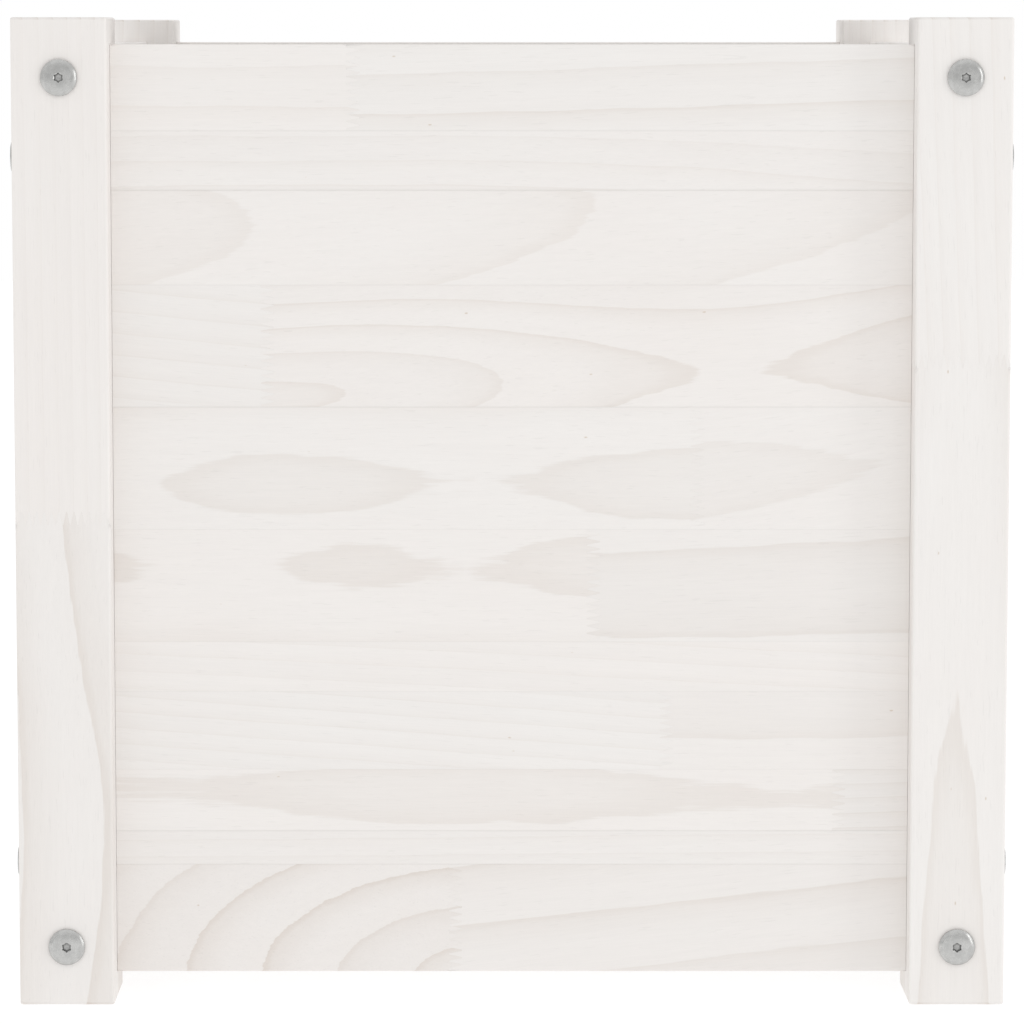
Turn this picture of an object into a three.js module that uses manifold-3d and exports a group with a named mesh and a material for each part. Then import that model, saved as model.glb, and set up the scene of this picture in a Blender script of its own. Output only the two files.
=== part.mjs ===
// Versailles planter: a cube of whitewashed pine. Four square corner posts hold four glued board
// panels. Connector bolts cross in each post and pull on barrel nuts sunk in the panels' inner
// faces. A floor of slats is screwed to two cleats.
// Millimetres. The origin is the centre of the base, +Z is up and the front faces -Y.
import * as THREE from 'three';
import { mergeVertices } from 'three/addons/utils/BufferGeometryUtils.js';
import Module from 'manifold-3d';

// Overall size, from post to post and from the feet to the post tops.
const WIDTH = 500;
const DEPTH = 500;
const HEIGHT = 500;

// Air left round a piece that is seated on another or passes through it.
const FIT = 0.3;

// Corner posts, square in section.
const POST = 48;
const POST_EASE = 1.2;

// Panels, centred in the thickness of the posts.
const PANEL_THICKNESS = 15;
const PANEL_TOP_DROP = 13.5;
const PANEL_FOOT_GAP = 13.5;
const PANEL_EASE = 0.8;

// Connector bolts. Those that show on the front and rear sit nearer the ends of the posts than
// those on the sides, so that the two pairs pass each other inside the post.
const FRONT_BOLT_INSET = 30;
const SIDE_BOLT_INSET = 70;
const BOLT_DIAMETER = 6;
const BOLT_HOLE_DIAMETER = 7;
const BOLT_OVERRUN = 2;
const BOLT_TIP_CHAMFER = 0.8;
const HEAD_DIAMETER = 18.4;
const HEAD_BEVEL = 1.75;
const HEAD_RIM = 0.5;
const HEAD_HEIGHT = 2.2;
const SOCKET_ACROSS_FLATS = 4;
const SOCKET_CHAMFER = 0.3;
const SOCKET_DEPTH = 3;

// Barrel nuts. They are set in from the panel's end, and a skin of wood covers them outside.
const NUT_DIAMETER = 10;
const NUT_SETBACK = 30;
const NUT_COVER = 2.2;
const NUT_SINK = 0.5;
const NUT_CHAMFER = 0.6;
const NUT_SLOT_WIDTH = 1.4;
const NUT_SLOT_DEPTH = 1.6;

// Floor: cleats on the front and rear panels carry slats that run from front to rear.
const CLEAT_DEPTH = 20;
const CLEAT_HEIGHT = 25;
const CLEAT_RISE = 5;
const CLEAT_END_GAP = 2;
const CLEAT_EASE = 1;
const SLAT_COUNT = 6;
const SLAT_THICKNESS = 15;
const SLAT_GAP = 8;
const SLAT_MARGIN = 1.5;
const SLAT_EASE = 1;

// Countersunk screws, one at each end of each slat.
const SCREW_DIAMETER = 4;
const SCREW_HEAD_DIAMETER = 8;
const SCREW_BITE = 16;
const SCREW_TIP = 5;
const SCREW_RECESS_SPAN = 4;
const SCREW_RECESS_WIDTH = 1.1;
const SCREW_RECESS_DEPTH = 1.6;

// Facets of the round pieces.
const HEAD_FACETS = 20;
const BORE_FACETS = 12;
const SHANK_FACETS = 12;
const SCREW_FACETS = 8;

// The four faces, each turned about Z from the front. Its ends are named from local -X to +X.
const FACES = [
  { name: 'front', quarterTurns: 0, ends: ['left', 'right'] },
  { name: 'right', quarterTurns: 1, ends: ['front', 'rear'] },
  { name: 'rear', quarterTurns: 2, ends: ['right', 'left'] },
  { name: 'left', quarterTurns: 3, ends: ['rear', 'front'] },
];

const pine = new THREE.MeshStandardMaterial({
  name: 'whitewashed_pine',
  color: 0xeeebe7,
  roughness: 0.7,
  metalness: 0,
  flatShading: true,
});
const zinc = new THREE.MeshStandardMaterial({
  name: 'zinc_plated_steel',
  color: 0xb8b8b5,
  roughness: 0.35,
  metalness: 1,
  flatShading: true,
});

const wasm = await Module();
wasm.setup();

// ---- Solids ----

// Turns a closed geometry into a solid that can be cut.
function solidOf(geometry) {
  geometry.deleteAttribute('normal');
  geometry.deleteAttribute('uv');
  const merged = mergeVertices(geometry);
  const mesh = new wasm.Mesh({
    numProp: 3,
    vertProperties: merged.attributes.position.array,
    triVerts: new Uint32Array(merged.index.array),
  });
  return new wasm.Manifold(mesh);
}

// Turns a solid back into a geometry.
function geometryOf(solid) {
  const mesh = solid.getMesh();
  const geometry = new THREE.BufferGeometry();
  geometry.setAttribute('position', new THREE.BufferAttribute(mesh.vertProperties, 3));
  geometry.setIndex(new THREE.BufferAttribute(mesh.triVerts, 1));
  geometry.computeVertexNormals();
  return geometry;
}

function cut(solid, cutters) {
  return cutters.reduce((rest, cutter) => rest.subtract(cutter), solid);
}

// A sawn board with eased arrises, standing on z = 0 and centred on the Z axis.
function board(sizeX, sizeY, sizeZ, ease) {
  const x = sizeX / 2 - ease;
  const y = sizeY / 2 - ease;
  const quarter = Math.PI / 2;
  const section = new THREE.Shape();
  section.absarc(x, y, ease, 0, quarter);
  section.absarc(-x, y, ease, quarter, 2 * quarter);
  section.absarc(-x, -y, ease, 2 * quarter, 3 * quarter);
  section.absarc(x, -y, ease, 3 * quarter, 4 * quarter);
  const geometry = new THREE.ExtrudeGeometry(section, {
    depth: sizeZ - 2 * ease,
    curveSegments: 1,
    bevelThickness: ease,
    bevelSize: ease,
    bevelOffset: -ease,
    bevelSegments: 2,
  });
  return solidOf(geometry.translate(0, 0, ease));
}

// A plain cutter with square corners, centred on the given point.
function block(sizeX, sizeY, sizeZ, x, y, z) {
  return solidOf(new THREE.BoxGeometry(sizeX, sizeY, sizeZ).translate(x, y, z));
}

// A round cutter along X or Y, centred on the given point.
function boreAlongX(radius, length, x, y, z) {
  const cylinder = new THREE.CylinderGeometry(radius, radius, length, BORE_FACETS);
  return solidOf(cylinder.rotateZ(Math.PI / 2).translate(x, y, z));
}

function boreAlongY(radius, length, x, y, z) {
  const cylinder = new THREE.CylinderGeometry(radius, radius, length, BORE_FACETS);
  return solidOf(cylinder.translate(x, y, z));
}

// A turned piece. The profile is a list of [radius, y] pairs from the axis and back to it.
function turned(profile, facets) {
  const points = profile.map(([radius, y]) => new THREE.Vector2(radius, y));
  return solidOf(new THREE.LatheGeometry(points, facets));
}

function part(name, solid, material) {
  const mesh = new THREE.Mesh(geometryOf(solid), material);
  mesh.name = name;
  return mesh;
}

// ---- Corner posts ----

// One post stands on z = 0. Two bolts pass through it along Y and two along X.
function postSolid() {
  const radius = BOLT_HOLE_DIAMETER / 2;
  const length = POST + 2;
  const bores = [];
  for (const z of levels(FRONT_BOLT_INSET)) {
    bores.push(boreAlongY(radius, length, 0, 0, z));
  }
  for (const z of levels(SIDE_BOLT_INSET)) {
    bores.push(boreAlongX(radius, length, 0, 0, z));
  }
  return cut(board(POST, POST, HEIGHT, POST_EASE), bores);
}

// The lower and upper height of a pair of bolts with this inset from the post's ends.
function levels(inset) {
  return [inset, HEIGHT - inset];
}

function posts() {
  const group = new THREE.Group();
  const solid = postSolid();
  for (const [row, y] of [['front', -1], ['rear', 1]]) {
    for (const [end, x] of [['left', -1], ['right', 1]]) {
      const post = part(`post_${row}_${end}`, solid, pine);
      post.position.set((x * (WIDTH - POST)) / 2, (y * (DEPTH - POST)) / 2, 0);
      group.add(post);
    }
  }
  return group;
}

// ---- Panels, bolts and barrel nuts of one face ----

// A panel stands on z = 0 with its outer face towards -Y. Its bores take the bolts that come
// through the posts at both ends, and a blind hole from the inner face crosses each of them.
function panelSolid(length, boltHeights) {
  const boreDepth = NUT_SETBACK + NUT_DIAMETER / 2 + BOLT_OVERRUN + BOLT_TIP_CHAMFER;
  const nutHoleDepth = PANEL_THICKNESS - NUT_COVER;
  const cutters = [];
  for (const side of [-1, 1]) {
    for (const height of boltHeights) {
      const z = height - PANEL_FOOT_GAP;
      const end = (side * length) / 2;
      const nutX = end - side * NUT_SETBACK;
      const nutY = PANEL_THICKNESS / 2;
      cutters.push(boreAlongX(BOLT_HOLE_DIAMETER / 2, 2 * boreDepth, end, 0, z));
      cutters.push(boreAlongY(NUT_DIAMETER / 2 + FIT, 2 * nutHoleDepth, nutX, nutY, z));
    }
  }
  const panelHeight = HEIGHT - PANEL_TOP_DROP - PANEL_FOOT_GAP;
  return cut(board(length, PANEL_THICKNESS, panelHeight, PANEL_EASE), cutters);
}

// A flat bevelled head with a hexagon socket lies on y = 0, and the shank runs along +Y.
function boltSolid() {
  const shankRadius = BOLT_DIAMETER / 2;
  const headRadius = HEAD_DIAMETER / 2;
  const length = POST + NUT_SETBACK + NUT_DIAMETER / 2 + BOLT_OVERRUN;
  const head = turned([
    [0, -HEAD_HEIGHT],
    [headRadius - HEAD_BEVEL, -HEAD_HEIGHT],
    [headRadius, -HEAD_RIM],
    [headRadius, 0],
    [0, 0],
  ], HEAD_FACETS);
  const shank = turned([
    [0, -HEAD_RIM],
    [shankRadius, -HEAD_RIM],
    [shankRadius, length - BOLT_TIP_CHAMFER],
    [shankRadius - BOLT_TIP_CHAMFER, length],
    [0, length],
  ], SHANK_FACETS);
  return cut(head.add(shank), [socketCutter()]);
}

// A hexagon with two corners up and down, flared at its mouth.
function socketCutter() {
  const corner = SOCKET_ACROSS_FLATS / Math.sqrt(3);
  return turned([
    [0, -HEAD_HEIGHT - SOCKET_CHAMFER],
    [corner + 2 * SOCKET_CHAMFER, -HEAD_HEIGHT - SOCKET_CHAMFER],
    [corner, -HEAD_HEIGHT + SOCKET_CHAMFER],
    [corner, -HEAD_HEIGHT + SOCKET_DEPTH],
    [0, -HEAD_HEIGHT + SOCKET_DEPTH],
  ], 6);
}

// A barrel nut lies along Y with its slotted end at y = 0, towards the inside of the planter.
function nutSolid() {
  const radius = NUT_DIAMETER / 2;
  const length = PANEL_THICKNESS - NUT_COVER - NUT_SINK - FIT;
  const boltAxis = PANEL_THICKNESS / 2 - NUT_SINK;
  const barrel = turned([
    [0, -length],
    [radius - NUT_CHAMFER, -length],
    [radius, -length + NUT_CHAMFER],
    [radius, -NUT_CHAMFER],
    [radius - NUT_CHAMFER, 0],
    [0, 0],
  ], BORE_FACETS);
  const thread = boreAlongX(BOLT_DIAMETER / 2 + FIT, 2 * NUT_DIAMETER, 0, -boltAxis, 0);
  const slot = block(2 * NUT_DIAMETER, 2 * NUT_SLOT_DEPTH, NUT_SLOT_WIDTH, 0, 0, 0);
  return cut(barrel, [thread, slot]);
}

// One face of the planter, built as the front and turned into place. Its panel is held by the
// bolts of the two neighbouring faces, and its own bolts hold the neighbouring panels.
function faceGroup(face, bolt, nut) {
  const isSide = face.quarterTurns % 2 === 1;
  const halfWidth = (isSide ? DEPTH : WIDTH) / 2;
  const outerFace = (isSide ? WIDTH : DEPTH) / 2;
  const ownInset = isSide ? SIDE_BOLT_INSET : FRONT_BOLT_INSET;
  const panelInset = isSide ? FRONT_BOLT_INSET : SIDE_BOLT_INSET;
  const panelLength = 2 * (halfWidth - POST - FIT);
  const panelCentre = -(outerFace - POST / 2);

  const group = new THREE.Group();
  const panelMesh = part(`panel_${face.name}`, panelSolid(panelLength, levels(panelInset)), pine);
  panelMesh.position.set(0, panelCentre, PANEL_FOOT_GAP);
  group.add(panelMesh);

  for (const [index, side] of [-1, 1].entries()) {
    for (const [level, height] of ['lower', 'upper'].entries()) {
      const place = `${face.name}_${face.ends[index]}_${height}`;
      const boltMesh = part(`bolt_${place}`, bolt, zinc);
      boltMesh.position.set(side * (halfWidth - POST / 2), -outerFace - FIT, levels(ownInset)[level]);
      group.add(boltMesh);

      const nutMesh = part(`barrel_nut_${place}`, nut, zinc);
      const nutX = side * (panelLength / 2 - NUT_SETBACK);
      const nutY = panelCentre + PANEL_THICKNESS / 2 - NUT_SINK;
      nutMesh.position.set(nutX, nutY, levels(panelInset)[level]);
      group.add(nutMesh);
    }
  }
  group.rotation.z = (face.quarterTurns * Math.PI) / 2;
  return group;
}

// ---- Slatted floor ----

// A countersunk wood screw, head up at z = 0. The allowance makes the hole that it sits in.
function screwSolid(allowance) {
  const radius = SCREW_DIAMETER / 2 + allowance;
  const headRadius = SCREW_HEAD_DIAMETER / 2 + allowance;
  const length = SLAT_THICKNESS + SCREW_BITE + allowance;
  const screw = turned([
    [0, -length],
    [radius, SCREW_TIP - length],
    [radius, radius - headRadius],
    [headRadius, 0],
    [0, 0],
  ], SCREW_FACETS);
  return screw.rotate([90, 0, 0]);
}

function screwWithRecess() {
  const depth = 2 * SCREW_RECESS_DEPTH;
  return cut(screwSolid(0), [
    block(SCREW_RECESS_SPAN, SCREW_RECESS_WIDTH, depth, 0, 0, 0),
    block(SCREW_RECESS_WIDTH, SCREW_RECESS_SPAN, depth, 0, 0, 0),
  ]);
}

function slattedFloor() {
  const group = new THREE.Group();
  const insideX = WIDTH - POST - PANEL_THICKNESS;
  const insideY = DEPTH - POST - PANEL_THICKNESS;
  const cleatBase = PANEL_FOOT_GAP + CLEAT_RISE;
  const slatBase = cleatBase + CLEAT_HEIGHT + FIT;
  const slatTop = slatBase + SLAT_THICKNESS;
  const slatLength = insideY - 2 * SLAT_MARGIN;
  const slatWidth = (insideX - 2 * SLAT_MARGIN - (SLAT_COUNT - 1) * SLAT_GAP) / SLAT_COUNT;
  const slatPitch = slatWidth + SLAT_GAP;
  const slatCentres = [];
  for (let i = 0; i < SLAT_COUNT; i++) {
    slatCentres.push((i - (SLAT_COUNT - 1) / 2) * slatPitch);
  }
  const cleatCentreY = insideY / 2 - FIT - CLEAT_DEPTH / 2;
  const hole = screwSolid(FIT);
  const screw = screwWithRecess();

  // The posts' inner corners, with the floor's margin round them, notch the outer slats.
  const notches = [];
  for (const x of [-1, 1]) {
    for (const y of [-1, 1]) {
      const size = POST + 2 * SLAT_MARGIN;
      const centreX = (x * (WIDTH - POST)) / 2;
      const centreY = (y * (DEPTH - POST)) / 2;
      notches.push(block(size, size, 2 * SLAT_THICKNESS, centreX, centreY, SLAT_THICKNESS / 2));
    }
  }

  for (const [row, side] of [['front', -1], ['rear', 1]]) {
    const cleatLength = WIDTH - 2 * POST - 2 * CLEAT_END_GAP;
    const pilots = slatCentres.map((x) => hole.translate([x, 0, slatTop - cleatBase]));
    const solid = cut(board(cleatLength, CLEAT_DEPTH, CLEAT_HEIGHT, CLEAT_EASE), pilots);
    const cleat = part(`floor_cleat_${row}`, solid, pine);
    cleat.position.set(0, side * cleatCentreY, cleatBase);
    group.add(cleat);
  }

  for (const [i, centreX] of slatCentres.entries()) {
    const holes = [-1, 1].map((side) => hole.translate([0, side * cleatCentreY, SLAT_THICKNESS]));
    const corners = notches.map((notch) => notch.translate([-centreX, 0, 0]));
    const plank = board(slatWidth, slatLength, SLAT_THICKNESS, SLAT_EASE);
    const slat = part(`floor_slat_${i + 1}`, cut(plank, [...holes, ...corners]), pine);
    slat.position.set(centreX, 0, slatBase);
    group.add(slat);

    for (const [row, side] of [['front', -1], ['rear', 1]]) {
      const fastener = part(`slat_screw_${row}_${i + 1}`, screw, zinc);
      fastener.position.set(centreX, side * cleatCentreY, slatTop);
      group.add(fastener);
    }
  }
  return group;
}

// ---- Assembly ----

const planter = new THREE.Group();
planter.name = 'versailles_planter';
planter.add(posts());
const bolt = boltSolid();
const nut = nutSolid();
for (const face of FACES) {
  planter.add(faceGroup(face, bolt, nut));
}
planter.add(slattedFloor());

export default planter;
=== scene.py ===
import math
import random

import bmesh
import bpy
from mathutils import Matrix, Vector


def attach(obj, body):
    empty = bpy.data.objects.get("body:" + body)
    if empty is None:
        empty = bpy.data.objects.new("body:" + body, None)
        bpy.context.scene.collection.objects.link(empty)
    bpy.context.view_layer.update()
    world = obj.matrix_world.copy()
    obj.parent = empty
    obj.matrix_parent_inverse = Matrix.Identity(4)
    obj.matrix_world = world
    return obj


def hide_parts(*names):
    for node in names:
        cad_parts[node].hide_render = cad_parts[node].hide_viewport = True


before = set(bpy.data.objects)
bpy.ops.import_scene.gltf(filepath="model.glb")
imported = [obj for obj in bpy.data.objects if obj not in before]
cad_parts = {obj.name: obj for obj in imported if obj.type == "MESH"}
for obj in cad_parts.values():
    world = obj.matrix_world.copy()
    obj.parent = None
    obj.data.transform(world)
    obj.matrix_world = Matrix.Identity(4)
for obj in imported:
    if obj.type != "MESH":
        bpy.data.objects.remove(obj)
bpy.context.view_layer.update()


# ---- Corner posts ----
# Each post is 48 mm square planed pine, glued up end to end from two lengths with a finger joint.
# Its arrises are eased with a cutter, it is bored right through for four bolts, two each way, and
# it is brushed with a thin white wash.

POST = 48
POST_EASE = 1.2
WIDTH = 500
HEIGHT = 500
BOLT_BORE = 7
FRONT_BOLT_INSET = 30
SIDE_BOLT_INSET = 70
FINGER_LENGTH = 6.6
FINGER_PITCH = 3.75
FINGER_TIP = 0.5
GLUE_DEPTH = 0.12
PLAIN_GLUE = 0.012
STRONG_GLUE = 0.07
GLUE_BAND = 20
FAR_OFF = 9
LOG_SPACING = 2.3


def finger_joint(middle, low, high):
    """The line of a finger joint across a board, from its lower edge up to its upper edge."""
    count = int((high - low - 1) / FINGER_PITCH)
    start = low + (high - low - count * FINGER_PITCH) / 2
    root, tip = middle - FINGER_LENGTH / 2, middle + FINGER_LENGTH / 2
    line = [(root, low)]
    for i in range(count):
        z = start + i * FINGER_PITCH
        line.append((root, z + FINGER_TIP / 2))
        line.append((tip, z + FINGER_PITCH / 2 - FINGER_TIP / 2))
        line.append((tip, z + FINGER_PITCH / 2 + FINGER_TIP / 2))
        line.append((root, z + FINGER_PITCH - FINGER_TIP / 2))
    line.append((root, high))
    return line


def board_outline(length, width, below=None, right=None, above=None, left=None, cut=None):
    """The outline of a board that lies along X: its points anticlockwise, each with the edge that
    follows it, and the stations along its lower and upper edges. An edge is None where it is
    eased, or the width of its glue line. A glued end is a finger joint, and another end is eased
    too, or has a chamfer of the width that cut says."""
    (x0, x1), (z0, z1) = length, width
    right_end = [(x1, z0), (x1, z1)] if right is None else finger_joint(x1, z0, z1)
    left_end = [(x0, z0), (x0, z1)] if left is None else finger_joint(x0, z0, z1)
    first = x0 + (4 if left is None else FINGER_LENGTH)
    last = x1 - (4 if right is None else FINGER_LENGTH)
    count = max(2, round((last - first) / 20) + 1)
    stations = [first + (last - first) * i / (count - 1) for i in range(count)]
    points = [(*left_end[0], below)] + [(x, z0, below) for x in stations]
    points += [(x, z, cut if right is None else right) for x, z in right_end[:-1]]
    points += [(*right_end[-1], above)] + [(x, z1, above) for x in reversed(stations)]
    points += [(x, z, cut if left is None else left) for x, z in reversed(left_end[1:])]
    low = list(range(1, count + 1))
    high = [count + len(right_end) + count - i for i in range(count)]
    return points, low, high


def sawn_board(outline, thickness, ease):
    """A closed board from its outline, with its faces at -Y and +Y. Eased edges are rounded and
    glued ones get a hair of a chamfer. Each face says if it is glue, arris or end grain."""
    points, low, high = outline
    n = len(points)
    corners = [Vector(p[:2]) for p in points]
    edges = [p[2] for p in points]
    along = [(corners[(i + 1) % n] - corners[i]).normalized() for i in range(n)]
    inward = [Vector((-d.y, d.x)) for d in along]

    def inset(edge, depth):
        if edge is None:
            return ease - math.sqrt(max(0, ease**2 - max(0, ease - depth) ** 2))
        return edge * max(0, 1 - depth / GLUE_DEPTH)

    def ring(depth):
        made = []
        for i in range(n):
            a, b = inward[i - 1], inward[i]
            da, db = inset(edges[i - 1], depth), inset(edges[i], depth)
            turn = along[i - 1].cross(along[i])
            if edges[i - 1] is None and edges[i] is None and turn > 0.5:
                reach = ease - da
                for k in range(5):
                    t = k * math.pi / 8
                    spoke = math.cos(t) * a + math.sin(t) * b
                    made.append((corners[i] + ease * (a + b) - reach * spoke, i - (k < 4)))
            elif abs(turn) < 1e-6:
                made.append((corners[i] + db * b, i))
            else:
                step = da * Vector((b.y, -b.x)) - db * Vector((a.y, -a.x))
                made.append((corners[i] + step / a.cross(b), i))
        return made

    depths = [0, GLUE_DEPTH, 0.3 * ease, ease]
    half = thickness / 2
    levels = [(d - half, d) for d in depths] + [(half - d, d) for d in reversed(depths)]
    rings = [ring(depth) for _, depth in levels]
    owner = [i % n for _, i in rings[0]]
    m = len(owner)
    verts = [(p.x, y, p.y) for (y, _), made in zip(levels, rings) for p, _ in made]
    faces, marks = [], []
    for j in range(len(levels) - 1):
        flank = j == len(depths) - 1
        for i in range(m):
            k = (i + 1) % m
            faces.append((j * m + i, (j + 1) * m + i, (j + 1) * m + k, j * m + k))
            glued = edges[owner[i]] is not None
            end = abs(along[owner[i]].y) > 0.9
            glue = (edges[owner[i]] or 0) / STRONG_GLUE
            marks.append((glue * (not flank), not glued and not flank, end, not flank))
    place = {owner[k]: k for k in reversed(range(m))}
    caps = [list(range(m))]
    if low:
        low = [place[i] for i in low]
        high = [place[i] for i in high]
        caps = [[low[k], low[k + 1], high[k + 1], high[k]] for k in range(len(low) - 1)]
        caps.append([k % m for k in range(high[0], low[0] + m + 1)])
        caps.append(list(range(low[-1], high[-1] + 1)))
    rear = (len(levels) - 1) * m
    for cap in caps:
        faces += [tuple(cap), tuple(rear + k for k in reversed(cap))]
        marks += [(False, False, False, False)] * 2
    mesh = bpy.data.meshes.new("board")
    mesh.from_pydata(verts, [], faces)
    for column, name in enumerate(("glue", "arris", "end")):
        layer = mesh.attributes.new(name, "FLOAT", "FACE")
        layer.data.foreach_set("value", [float(mark[column]) for mark in marks])
    mesh.polygons.foreach_set("use_smooth", [mark[3] for mark in marks])
    return mesh


def turned(profile):
    """A piece turned about Y. The profile lists (radius, y, facets) from the axis and back to it.
    A radius may be a function of the angle. Facets change only by a whole factor."""
    verts, faces, rings = [], [], []
    for radius, y, facets in profile:
        if radius == 0:
            rings.append([len(verts)])
            verts.append((0, y, 0))
            continue
        rings.append(list(range(len(verts), len(verts) + facets)))
        for k in range(facets):
            a = 2 * math.pi * k / facets
            r = radius(a, y) if callable(radius) else radius
            verts.append((r * math.cos(a), y, r * math.sin(a)))
    for one, two in zip(rings, rings[1:]):
        a, b = len(one), len(two)
        for k in range(max(1, min(a, b)) if min(a, b) > 1 else max(a, b)):
            if a == 1:
                faces.append((one[0], two[k], two[(k + 1) % b]))
            elif b == 1:
                faces.append((one[(k + 1) % a], one[k], two[0]))
            elif a >= b:
                step = a // b
                rim = [one[(k * step + i) % a] for i in range(step, -1, -1)]
                faces.append((*rim, two[k], two[(k + 1) % b]))
            else:
                step = b // a
                rim = [two[(k * step + i) % b] for i in range(step + 1)]
                faces.append((one[(k + 1) % a], one[k], *rim))
    mesh = bpy.data.meshes.new("turned")
    mesh.from_pydata(verts, [], faces)
    mesh.polygons.foreach_set("use_smooth", [True] * len(faces))
    mesh.set_sharp_from_angle(angle=math.radians(28))
    return mesh


def joined(meshes):
    """One mesh that holds all of these, each still a closed body of its own."""
    whole = bpy.data.meshes.new("joined")
    sheet = bmesh.new()
    for mesh in meshes:
        sheet.from_mesh(mesh)
        bpy.data.meshes.remove(mesh)
    sheet.to_mesh(whole)
    sheet.free()
    return whole


def drilled(mesh, drills):
    """The mesh with each drill's shape taken out of it, one after another."""
    for drill in drills:
        wood = bpy.data.objects.new("wood", mesh)
        tool = bpy.data.objects.new("tool", drill)
        for thing in (wood, tool):
            bpy.context.scene.collection.objects.link(thing)
        cut = wood.modifiers.new("bore", "BOOLEAN")
        cut.operation, cut.solver, cut.object = "DIFFERENCE", "EXACT", tool
        bpy.context.view_layer.update()
        seen = wood.evaluated_get(bpy.context.evaluated_depsgraph_get())
        result = bpy.data.meshes.new_from_object(seen)
        bpy.data.objects.remove(wood)
        bpy.data.objects.remove(tool)
        bpy.data.meshes.remove(mesh)
        bpy.data.meshes.remove(drill)
        mesh = result
    return mesh


def bore(radius, start, end):
    """A drill of this radius between two points, for drilled()."""
    run = Vector(end) - Vector(start)
    drill = turned([(0, 0, 32), (radius, 0, 32), (radius, run.length, 32), (0, run.length, 32)])
    drill.transform(Matrix.Translation(start) @ run.to_track_quat("Y", "Z").to_matrix().to_4x4())
    return drill


def sawn_from_log(
    mesh, number, tone, figure, ring, pith, lean, depth, taper=0, swell=0, wave=400, crest=0,
    wander=0.2, lines=(),
):
    """Writes where the board lay in its log, which gives it its grain. At x the pith lies at z =
    pith + lean x, and depth + taper x behind the face at -Y, swelling over a wave's length. The
    rings are ring mm wide and wander by a part of that. Tone and figure say how pale and how
    lively the board is. Lines are the heights of its glued edges, with their glue's width."""
    half = max(v.co.y for v in mesh.vertices)
    places, seams = [], []
    for v in mesh.vertices:
        x, y, z = v.co
        behind = depth + taper * x + swell * math.cos(2 * math.pi * (x - crest) / wave)
        height = z - pith - lean * x
        places += [x / 1000 + LOG_SPACING * number, height / 1000, (y + half - behind) / 1000]
        reaches = [abs(z - at) / (GLUE_BAND * glue) if glue else FAR_OFF for at, glue in lines]
        seams += (reaches + 3 * [FAR_OFF])[:3]
    mesh.attributes.new("log", "FLOAT_VECTOR", "POINT").data.foreach_set("vector", places)
    mesh.attributes.new("seams", "FLOAT_VECTOR", "POINT").data.foreach_set("vector", seams)
    values = {"tone": tone, "figure": figure, "ring": ring / 1000, "wander": wander}
    for name, value in values.items():
        layer = mesh.attributes.new(name, "FLOAT", "POINT")
        layer.data.foreach_set("value", [value] * len(mesh.vertices))
    return mesh


def wire(tree, kind, feeds=(), **settings):
    """A new shader node. Its feeds are sockets or plain values, by place or by name."""
    made = tree.nodes.new("ShaderNode" + kind)
    for key, value in settings.items():
        setattr(made, key, value)
    for key, value in feeds.items() if isinstance(feeds, dict) else enumerate(feeds):
        if isinstance(value, bpy.types.NodeSocket):
            tree.links.new(value, made.inputs[key])
        else:
            made.inputs[key].default_value = value
    return made


def sums(tree, operation, *feeds):
    return wire(tree, "Math", feeds, operation=operation).outputs[0]


def stretched(tree, place, along, across):
    feeds = (place, (along, across, across))
    return wire(tree, "VectorMath", feeds, operation="MULTIPLY").outputs[0]


def noise(tree, place, detail=2.0, rough=0.5):
    feeds = {"Vector": place, "Scale": 1.0, "Detail": detail, "Roughness": rough}
    return wire(tree, "TexNoise", feeds).outputs["Fac"]


def between(tree, value, low, high, to_low=0.0, to_high=1.0):
    feeds = (value, low, high, to_low, to_high)
    return wire(tree, "MapRange", feeds, interpolation_type="SMOOTHSTEP").outputs[0]


def shader_group(name, inputs, outputs):
    """An empty node group with these named inputs and outputs, and its two end nodes."""
    tree = bpy.data.node_groups.new(name, "ShaderNodeTree")
    for socket, kind in inputs:
        tree.interface.new_socket(name=socket, in_out="INPUT", socket_type="NodeSocket" + kind)
    for socket, kind in outputs:
        tree.interface.new_socket(name=socket, in_out="OUTPUT", socket_type="NodeSocket" + kind)
    return tree, tree.nodes.new("NodeGroupInput").outputs, tree.nodes.new("NodeGroupOutput").inputs


def chance(tree, number):
    """A value between 0 and 1 that is by chance, and always the same for the same number."""
    feeds = {"W": number}
    return wire(tree, "TexWhiteNoise", feeds, noise_dimensions="1D").outputs["Value"]


def placed(tree, group, feeds):
    """A node group placed in a material, with these sockets fed to it."""
    made = tree.nodes.new("ShaderNodeGroup")
    made.node_tree = group
    for key, socket in feeds.items():
        tree.links.new(socket, made.inputs[key])
    return made.outputs


# Growth rings: how far into its year's growth each point of the wood is, and how dark it is there.
growth_rings, given, gives = shader_group(
    "Growth rings",
    [("Log", "Vector"), ("Ring width", "Float"), ("Wander", "Float")],
    [("Late wood", "Float"), ("Year", "Float")],
)
t = growth_rings
slow = sums(t, "SUBTRACT", noise(t, stretched(t, given["Log"], 6, 20), 1.5), 0.5)
quick = sums(t, "SUBTRACT", noise(t, stretched(t, given["Log"], 25, 80), 2.0), 0.5)
sway = sums(t, "MULTIPLY_ADD", quick, 0.5, slow)
ragged = sums(t, "SUBTRACT", noise(t, stretched(t, given["Log"], 22, 480), 3.0, 0.6), 0.5)
sway = sums(t, "MULTIPLY_ADD", ragged, 0.4, sway)
across = wire(t, "VectorMath", (given["Log"], (0, 1, 1)), operation="MULTIPLY").outputs[0]
radius = wire(t, "VectorMath", (across,), operation="LENGTH").outputs["Value"]
years = sums(t, "DIVIDE", radius, given["Ring width"])
years = sums(t, "MULTIPLY_ADD", sway, given["Wander"], years)
part_year = sums(t, "FRACT", years)
ripening = sums(t, "POWER", between(t, part_year, 0.25, 1.0), 1.5)
ripe = between(t, part_year, 0.86, 0.975)
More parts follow.
